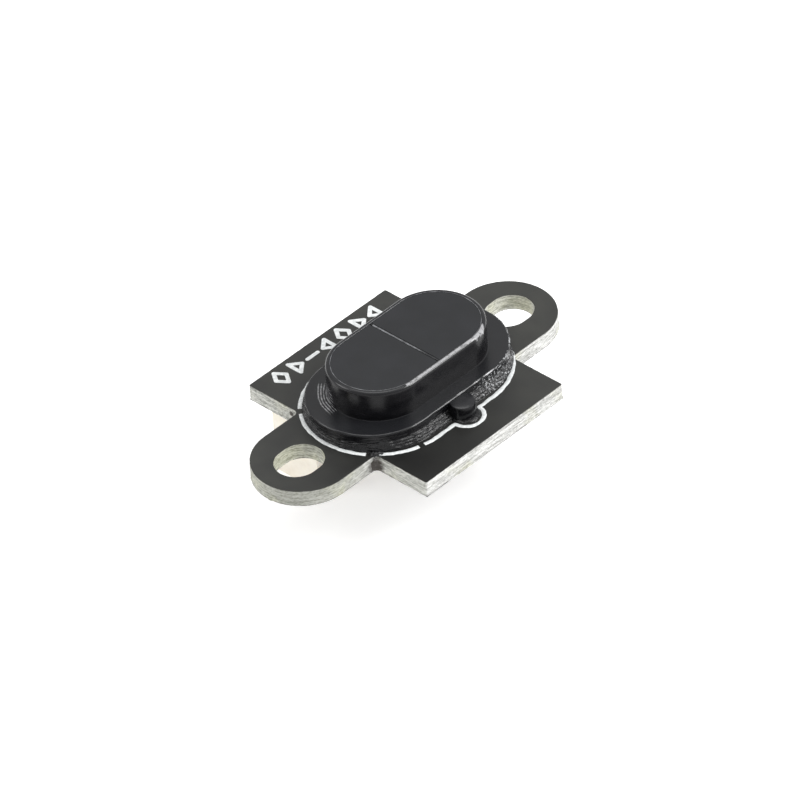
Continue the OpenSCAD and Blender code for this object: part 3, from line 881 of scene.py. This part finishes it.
def build_housing():
    """Stepped oval shell with a window pocket, the light wall and the small lug."""
    h = housing
    bm = bmesh.new()
    streak_and_highlight = bm.verts.layers.float.new("streak_and_highlight")
    glint = bm.verts.layers.float.new("glint")
    edge = 0.09
    side_rows = 22
    loops = [h.ring(h.flange, (h.flange_z - edge) * i / side_rows) for i in range(side_rows + 1)]
    side_count = len(loops)
    for angle in (30, 60, 90):
        turn = math.radians(angle)
        loops.append(h.ring(h.flange, h.flange_z - edge + edge * math.sin(turn), edge * (1 - math.cos(turn))))
    top_start = len(loops)
    top_rows = 36
    loops += [h.between(0.92 - 0.9 * i / top_rows, h.flange_z) for i in range(top_rows)]
    wall_start = len(loops)
    wall_rows = 30
    foot, head = h.flange_z + 0.02, h.chamfer_z
    loops += [h.ring(h.boss, foot + (head - foot) * i / wall_rows) for i in range(wall_rows + 1)]
    width, drop = h.boss[1] - h.rim[1], h.top - h.chamfer_z
    for step in range(1, 7):
        turn = math.radians(15 * step)
        loops.append(h.ring(h.boss, h.chamfer_z + drop * math.sin(turn), width * (1 - math.cos(turn))))
    wall_end = len(loops)
    pocket = (h.window[0] + 0.03, h.window[1] + 0.03)
    loops.append(h.ring(pocket, h.top - 0.004, -0.012))
    loops.append(h.ring(pocket, h.top - 0.02))
    loops.append(h.ring(pocket, h.ledge_z))
    rings = loft(bm, loops)
    bm.normal_update()

    def layered(point):
        ridge = math.sin(point.z * 2 * math.pi / 0.17 + 2.2 * wave((point.x, point.y, 0), 1.1, 2))
        strength = 0.5 + 0.8 * wave((point.x, point.y, point.z * 0.5), 2.3, 2)
        return 0.016 * ridge * strength + 0.016 * wave(point, 5.5, 3)

    for ring in rings[1:top_start]:
        for v in ring:
            v[glint] = glint_share(v.co.x, v.co.y)
    # Painted highlight: a broken pale line along the flange's rounded -Y top edge, stronger towards +X.
    for ring in rings[side_count:top_start]:
        for v in ring:
            broken = smooth_step(-0.25, 0.35, wave((v.co.x, v.co.y, 3), 1.9, 3))
            v[streak_and_highlight] = broken * (0.35 + 0.65 * smooth_step(-0.5, 2.5, v.co.x)) if v.co.y < 0 else 0.0
    displace([v for ring in rings[1:side_count + 2] for v in ring], layered)
    for ring in rings[top_start:wall_start]:
        for v in ring:
            v[streak_and_highlight] = end_streaks(v.co.x, v.co.y)
            v.co.z += 0.035 * v[streak_and_highlight] + 0.004 * wave(v.co, 2.5, 2)
    for ring in rings[wall_start:wall_end]:
        for v in ring:
            # Painted highlight: under the rim on the -Y side a pale band replaces the streaks.
            depth = rim_highlight_depth(v.co.x, v.co.y)
            v[streak_and_highlight] = 0.85 * wall_streaks(*v.co)
            if depth > 0.02:
                v[streak_and_highlight] = 1 - smooth_step(0.7 * depth, depth, h.top - v.co.z)
            outward = Vector((v.normal.x, v.normal.y, 0)).normalized()
            v.co += outward * (0.012 * v[streak_and_highlight] * (h.top - v.co.z) + 0.003 * wave(v.co, 1.6, 2))

    wall_half = h.split - 0.03
    rounded_box(bm, Vector((h.web_x - wall_half, -pocket[1], h.ledge_z)),
                Vector((h.web_x + wall_half, pocket[1], h.top - 0.015)), 0.02, 2)

    lug_z, rounding = h.flange_z - 0.08, 0.12
    lug = []
    for inset, z in ((0, 0.0), (0, 0.4), (0, lug_z - rounding), (0.035, lug_z - 0.035),
                     (rounding, lug_z), (0.5, lug_z + 0.005)):
        lug.append(oval(LUG_R - inset, LUG_R - inset, z, LUG_CENTRE, arc=24, line=1))
    loft(bm, lug)
    return make_piece("housing_shell", bm, MATERIALS["black_moulding"],
                      ["optical_housing"], 42)


def half_window(side, inset, z):
    """One half of the window oval on one side of the light wall, drawn smaller by inset."""
    half_l, half_w = housing.window[0] - inset, housing.window[1] - inset
    cut = housing.web_x + side * (housing.split + inset)
    reach = housing.window[0] - housing.window[1]
    centre_x = housing.centre[0]
    end = arc_points((reach, 0), half_w, -90, 90, 64)
    points = [(centre_x + side * x, y, z) for x, y in end]
    points.append((centre_x + side * reach, half_w, z))
    points.append((cut, half_w, z))
    points.append((cut, -half_w, z))
    return points


def build_window(name, node, side):
    """A flat filter plate with a fine polished edge."""
    bm = bmesh.new()
    low, high = housing.window_low, housing.window_top
    edge = 0.035
    steps = ((edge, low), (0, low + edge), (0, high - edge), (edge * 0.3, high - edge * 0.3), (edge, high))
    loops = [half_window(side, inset, z) for inset, z in steps]
    loft(bm, loops)
    return make_piece(name, bm, MATERIALS["dark_filter"], [node], 12)


def build_bond_bead():
    """The bond squeezed out along the light wall and round the windows."""
    h = housing
    bm = bmesh.new()
    pale = bm.verts.layers.float.new("pale")
    half_y = h.window[1] - 0.22
    divider = [(h.web_x - 0.02, half_y - 2 * half_y * i / 90, 0) for i in range(91)]
    ribbon(bm, divider, False, 0.1, 0.02, h.window_top - 0.004, 2.0, 0.008)
    for v in bm.verts:
        v[pale] = 1 - 0.9 * smooth_step(0.7, 1.7, -v.co.y)
    along_wall = set(bm.verts)
    gap_middle = [size + 0.015 for size in h.window]
    round_windows = oval(*gap_middle, 0, h.centre, arc=120, line=90)
    ribbon(bm, round_windows, True, 0.04, 0.014, h.window_top - 0.002, 5.0, 0.012)
    # Round the windows the pale, strongest at the +-X ends and weakest on the -Y side, is a painted
    # highlight.
    for v in bm.verts:
        if v not in along_wall:
            ends = smooth_step(2.2, 3.4, abs(v.co.x - h.centre[0]))
            v[pale] = max(0.9 * ends, 0.5 if v.co.y > 0 else 0.15)
    return make_piece("bond_bead", bm, MATERIALS["bond_bead"], (), 50)


# ------------------------------------------------------------------ sealing glue

def add_mound(bm, centre, radius, height, seed, uneven=0.35):
    """A low lump with an uneven outline."""
    rows, turns = 10, 56
    loops = []
    for i in range(rows + 1):
        lean = math.pi / 2 * i / rows
        ring = []
        for k in range(turns):
            angle = 2 * math.pi * k / turns
            r = 1 + uneven * wave((math.cos(angle), math.sin(angle), seed), 1.3, 3)
            r = radius * r * math.cos(lean) + 0.01
            x, y = centre[0] + r * math.cos(angle), centre[1] + r * math.sin(angle)
            ring.append((x, y, height * math.sin(lean) * (1 + 0.35 * wave((x, y, seed), 4, 3))))
        loops.append(ring)
    loft(bm, loops)


def add_strand(bm, start, heading_deg, bend_deg, length, radius):
    """A thin thread of glue that curls over the board."""
    steps, sides = 14, 6
    place, sections = Vector(start), []
    for i in range(steps + 1):
        share = i / steps
        turn = math.radians(heading_deg + bend_deg * share)
        along = Vector((math.cos(turn), math.sin(turn)))
        across = Vector((-along.y, along.x))
        thin = radius * (1 - 0.6 * share)
        lift = radius + 0.07 * math.sin(math.pi * share)
        ring = []
        for k in range(sides):
            angle = 2 * math.pi * k / sides
            spot = place + across * thin * math.cos(angle)
            ring.append((spot.x, spot.y, lift + thin * math.sin(angle)))
        sections.append(ring)
        place = place + along * length / steps
    loft(bm, sections)


def build_glue():
    """Rough bead between the flange and the printed oval, with the overflow at one corner."""
    bm = bmesh.new()
    glint = bm.verts.layers.float.new("glint")
    low, high = box_mm("sealing_glue")
    spread = 0.15
    foot_size = ((high.x - low.x) / 2, high.y + spread)
    flange = housing.flange
    start = oval(flange[0] - 0.05, flange[1] - 0.05, 0, housing.centre, arc=150, line=110)
    foot = oval(*foot_size, 0, ((high.x + low.x) / 2, 0), arc=150, line=110)
    inner = oval(flange[0] - 0.2, flange[1] - 0.2, 0, housing.centre, arc=150, line=110)
    rows = 20
    loops = [inner, [(x, y, high.z - 0.05) for x, y, _ in inner]]
    for i in range(rows + 1):
        share = i / rows
        z = high.z * (1 - share) ** 0.75
        loops.append([(a[0] + (b[0] - a[0]) * share, a[1] + (b[1] - a[1]) * share, z)
                      for a, b in zip(start, foot)])
    rings = loft(bm, loops, False, False)
    bridge(bm, rings[-1], rings[0])
    bm.normal_update()

    def beaded(point):
        low_part = 1 - smooth_step(0.02, 0.12, point.z)
        lumps = 0.045 * wave(point, 2.4, 4) + 0.035 * abs(wave(point + Vector((3, 3, 3)), 6.0, 3))
        ridge = 0.018 * math.sin(point.z * 2 * math.pi / 0.15 + 3 * wave((point.x, point.y, 4), 1.2, 2))
        return (lumps + ridge) * (1 - 0.75 * low_part)

    displace([v for ring in rings[2:] for v in ring], beaded)
    for v in rings[-1]:
        v.co.z = 0.0
    for v in bm.verts:
        v[glint] = glint_share(v.co.x, v.co.y)

    add_mound(bm, (BUMP_CENTRE[0], BUMP_CENTRE[1] + 0.12), BUMP_R - 0.12, 0.2, 1.0, 0.08)
    corner = glue_corner()
    for shift, radius, height in (((0.08, 0.05), 0.24, 0.13), ((-0.1, 0.1), 0.15, 0.09),
                                  ((0.3, -0.14), 0.14, 0.08), ((-0.02, -0.02), 0.12, 0.16)):
        add_mound(bm, (corner.x + shift[0], corner.y + shift[1]), radius, height, 5 + 9 * radius)
    threads = ((200, 90, 0.5), (150, -110, 0.45), (250, 120, 0.55), (300, -80, 0.5), (95, 60, 0.4))
    for heading, bend, length in threads:
        add_strand(bm, (corner.x - 0.05, corner.y + 0.05), heading, bend, length, 0.03)
    add_mound(bm, GLUE_DROP, 0.14, 0.06, 17.0)
    return make_piece("glue_bead", bm, MATERIALS["black_glue"], ["sealing_glue"], 60)


# ------------------------------------------------------------------ small parts on the back

def moulded_body(name, node, dimple=None):
    """A transfer-moulded package: drafted sides, a parting line and a pin-one dimple.

    The dimple is given as its distance from two sides and its radius."""
    low, high = box_mm(node)
    bm = bmesh.new()
    draft, edge = 0.07, 0.05
    parting = (low.z + high.z) / 2
    near, far = high.z, low.z
    levels = ((draft + edge + 0.05, near, 0.04), (draft + edge, near, 0.05), (draft, near - edge, 0.06),
              (0.01, parting + 0.02, 0.04), (0, parting, 0.04), (0.01, parting - 0.02, 0.04),
              (draft, far + edge, 0.06), (draft + edge * 0.35, far + edge * 0.3, 0.06),
              (draft + edge, far, 0.05), (draft + edge + 0.05, far, 0.04))
    loops = []
    for inset, z, radius in levels:
        shift = Vector((inset, inset, 0))
        loops.append(rounded_rectangle(low + shift, high - shift, radius, z))
    rings = loft(bm, loops, True, False)
    if dimple:
        centre, radius = (low.x + dimple[0], low.y + dimple[1]), dimple[2]
        hollow = [oval(radius - inset, radius - inset, far + depth, centre, arc=14, line=1)
                  for inset, depth in ((0, 0), (0.02, 0.01), (0.05, 0.03))]
        fill_between(bm, [rings[-1], loft(bm, hollow, False, True)[0]])
    else:
        bm.faces.new(rings[-1])
    return make_piece(name, bm, MATERIALS["package_black"], [node], 40)


def rounded_path(points, radius, steps=4):
    """Replaces each inner corner of a path in a plane with a short arc."""
    result = [Vector(points[0])]
    for before, here, after in zip(points, points[1:], points[2:]):
        before, here, after = Vector(before), Vector(here), Vector(after)
        start = here + (before - here).normalized() * radius
        end = here + (after - here).normalized() * radius
        for i in range(steps + 1):
            t = i / steps
            result.append(start * (1 - t) ** 2 + here * 2 * t * (1 - t) + end * t * t)
    result.append(Vector(points[-1]))
    return result


def bent_strip(bm, points, thickness, width, place):
    """A bent metal strip: place(along, up, across) turns strip coordinates into a point."""
    path = rounded_path(points, thickness * 0.9)
    side, face, ease = width / 2, thickness / 2, thickness * 0.18
    profile = ((ease - side, -face), (side - ease, -face), (side, ease - face), (side, face - ease),
               (side - ease, face), (ease - side, face), (-side, face - ease), (-side, ease - face))
    sections = []
    for i, point in enumerate(path):
        before, after = path[max(i - 1, 0)], path[min(i + 1, len(path) - 1)]
        along = (after - before).normalized()
        up = Vector((-along.y, along.x))
        sections.append([place(*(point + up * rise), across) for across, rise in profile])
    loft(bm, sections)


def build_leads(name, node, body_node):
    """Gull-wing leads, one for each solid of the CAD node."""
    bm = bmesh.new()
    body_low, body_high = box_mm(body_node)
    middle_y = (body_low.y + body_high.y) / 2
    for low, high in solid_boxes(node):
        side = 1 if (low.y + high.y) / 2 > middle_y else -1
        root_y = low.y if side > 0 else high.y
        length = high.y - low.y
        foot_up = -high.z + LEAD_T / 2
        shoulder_up = -low.z - LEAD_T / 2
        centre_x, width = (low.x + high.x) / 2, high.x - low.x
        foot = length * 0.46
        points = [(-0.05, shoulder_up), (length * 0.27, shoulder_up)]
        points += [(length - foot, foot_up), (length, foot_up)]

        def place(along, up, across, root_y=root_y, side=side, centre_x=centre_x):
            return (centre_x + across, root_y + side * along, -up)

        bent_strip(bm, points, LEAD_T, width, place)
    return make_piece(name, bm, MATERIALS["tinned_metal"], [node], 38)


def build_solder(name, nodes):
    """Concave solder fillets, one for each solid of the CAD nodes."""
    bm = bmesh.new()
    for node in nodes:
        for low, high in solid_boxes(node):
            front = low.z > -0.5 * abs(board.bottom)
            surface = 0.0 if front else board.bottom
            rise = (high.z - surface) if front else (surface - low.z)
            loops = []
            for i in range(7):
                share = i / 6
                grow = 0.07 * (1 - share) ** 1.6 - 0.035 * share
                shift = Vector((grow, grow, 0))
                up = rise * (share ** 1.5)
                z = surface + up if front else surface - up
                loops.append(rounded_rectangle(low - shift, high + shift, 0.05 + 0.02 * (1 - share), z))
            loft(bm, loops)
    return make_piece(name, bm, MATERIALS["solder"], nodes, 50)


def build_boxes(name, node, slot, radius, segments=3):
    """Rounded blocks, one for each solid of the CAD node."""
    bm = bmesh.new()
    for low, high in solid_boxes(node):
        rounded_box(bm, low, high, radius, segments)
    return make_piece(name, bm, MATERIALS[slot], [node], 40)


# ------------------------------------------------------------------ CAD nodes that stay

def keep_node(node, slot, bevel_mm=0.0, segments=2):
    """Gives a CAD node its material, and eases its edges where bevel_mm is set."""
    piece = frame["nodes"][node]
    for place in piece.material_slots:
        place.material = MATERIALS[slot]
    if not piece.material_slots:
        piece.data.materials.append(MATERIALS[slot])
    if bevel_mm:
        weld = piece.modifiers.new("weld", "WELD")
        weld.merge_threshold = 1e-7
        flatten = piece.modifiers.new("flatten", "DECIMATE")
        flatten.decimate_type = "DISSOLVE"
        flatten.angle_limit = math.radians(1)
        bevel = piece.modifiers.new("bevel", "BEVEL")
        bevel.width = bevel_mm * MM
        bevel.segments = segments
        bevel.limit_method = "ANGLE"
        bevel.angle_limit = math.radians(35)


# ------------------------------------------------------------------ stage

def build_floor():
    """A plain pale floor under the connector that can be looked through from below."""
    low, _ = cad_bounds
    half = 4.0
    mesh = bpy.data.meshes.new("studio_floor")
    corners = [(-half, -half, low.z), (half, -half, low.z), (half, half, low.z), (-half, half, low.z)]
    mesh.from_pydata(corners, [], [(0, 1, 2, 3)])
    material, tree, shader = new_material("studio_floor")
    shade = remap(tree, grain(tree, 0.02, 2), 0.3, 0.7, 0, 1)
    dress(tree, shader, blend_colour(tree, shade, (0.92, 0.92, 0.92), (0.94, 0.94, 0.94)), 0.9)
    shader.inputs["Specular IOR Level"].default_value = 0.1
    shader.inputs["Emission Color"].default_value = (1, 1, 1, 1)
    shader.inputs["Emission Strength"].default_value = 0.34
    clear = tree.nodes.new("ShaderNodeBsdfTransparent")
    geometry = tree.nodes.new("ShaderNodeNewGeometry")
    output = next(n for n in tree.nodes if n.type == "OUTPUT_MATERIAL")
    choose(tree, output, geometry.outputs["Backfacing"], shader.outputs[0], clear.outputs[0])
    mesh.materials.append(material)
    add_object("studio_floor", mesh)


def softbox(name, direction, distance, size, radiance):
    """An area light of a given brightness that faces the object."""
    light = bpy.data.lights.new(name, "AREA")
    light.shape = "RECTANGLE"
    light.size, light.size_y = size
    light.energy = radiance * math.pi * size[0] * size[1]
    lamp = add_object(name, light)
    away = Vector(direction).normalized()
    lamp.location = away * distance
    lamp.rotation_mode = "QUATERNION"
    lamp.rotation_quaternion = away.to_track_quat("Z", "Y")


def build_lights():
    """Three soft lights, an even surround, and a white backdrop that only the camera sees."""
    softbox("softbox_right", (0.5485, -0.70, 0.60), 0.45, (0.20, 0.30), 9.0)
    softbox("softbox_back_left", (-0.63, 0.60, 0.56), 0.45, (0.16, 0.26), 4.0)
    softbox("softbox_top", (0.05, 0.1, 1.0), 0.55, (0.40, 0.40), 1.6)
    world = bpy.data.worlds.new("studio")
    world.use_nodes = True
    tree = world.node_tree
    tree.nodes.clear()
    output = tree.nodes.new("ShaderNodeOutputWorld")
    lighting, backdrop = [tree.nodes.new("ShaderNodeBackground") for _ in range(2)]
    for node, strength in ((lighting, 0.54), (backdrop, 1.0)):
        node.inputs["Color"].default_value = (1, 1, 1, 1)
        node.inputs["Strength"].default_value = strength
    path = tree.nodes.new("ShaderNodeLightPath")
    choose(tree, output, path.outputs["Is Camera Ray"], lighting.outputs[0], backdrop.outputs[0])
    bpy.context.scene.world = world


def build_camera():
    """The camera at the photograph's viewing angle, with a long lens and a slight roll."""
    azimuth, elevation, roll = math.radians(-44.66), math.radians(38.72), math.radians(-3.80)
    target = Vector((-1.1687, -0.6909, 0)) * MM
    distance = 419.35 * MM
    back = Vector((math.sin(azimuth) * math.cos(elevation), -math.cos(azimuth) * math.cos(elevation),
                   math.sin(elevation)))
    right = Vector((math.cos(azimuth), math.sin(azimuth), 0))
    up = right.cross(-back)
    turned_right = right * math.cos(roll) + up * math.sin(roll)
    turned_up = up * math.cos(roll) - right * math.sin(roll)
    data = bpy.data.cameras.new("camera")
    data.sensor_width = 36
    data.lens = 347.67
    data.clip_start, data.clip_end = 0.01, 20
    camera = add_object("camera", data)
    axes = Matrix((turned_right, turned_up, back)).transposed().to_4x4()
    camera.matrix_world = Matrix.Translation(target + back * distance) @ axes
    bpy.context.scene.camera = camera


# ------------------------------------------------------------------ assembly

# Node, slot, bevel in mm and its segments
KEPT = (
    ("solder_mask_back", "solder_mask"), ("silkscreen_back", "white_ink"),
    ("front_copper_pads", "gold_plate"), ("back_copper_pads", "gold_plate"),
    ("window_adhesive", "bond"), ("light_gasket", "foam"),
    ("sensor_substrate", "chip_laminate"), ("sensor_cap", "package_black", 0.03),
    ("emitter_die", "silicon"), ("receiver_die", "silicon"), ("sensor_solder", "solder"),
    ("connector_housing", "cream_nylon", 0.07, 3),
    ("connector_contacts", "tinned_metal", 0.05), ("connector_tabs", "tinned_metal", 0.04),
)
# Piece, its part's first name, and its pin-one dimple
PACKAGES = (
    ("controller", "controller", (0.75, 0.75, 0.3)),
    ("regulator", "regulator", None),
    ("shifter", "level_shifter", (0.4, 0.38, 0.13)),
)
# Piece, node, slot, edge radius in mm
BLOCKS = (
    ("capacitor_blocks", "capacitor_bodies", "capacitor_ceramic", 0.03),
    ("capacitor_caps", "capacitor_ends", "tinned_metal", 0.06),
    ("resistor_blocks", "resistor_bodies", "alumina", 0.02),
    ("resistor_glaze", "resistor_coats", "resistor_glaze", 0.012),
    ("resistor_caps", "resistor_ends", "tinned_metal", 0.05),
    ("ferrite_block", "ferrite_body", "ferrite", 0.04),
    ("ferrite_caps", "ferrite_ends", "tinned_metal", 0.08),
)

for kept in KEPT:
    keep_node(*kept)
build_board_core()
build_mask("front_mask", "solder_mask_front", board.top, board.high_z)
build_front_ink()
build_housing()
build_window("emitter_filter", "emitter_window", -1)
build_window("receiver_filter", "receiver_window", 1)
build_bond_bead()
build_glue()
build_solder("connector_joints", ["connector_solder"])
for label, part, dimple in PACKAGES:
    moulded_body(label + "_package", part + "_body", dimple)
    build_leads(label + "_pins", part + "_leads", part + "_body")
for block in BLOCKS:
    build_boxes(*block)
build_solder("chip_joints", ["chip_solder"])

build_floor()
build_lights()
build_camera()
bpy.context.scene.view_settings.view_transform = "Standard"
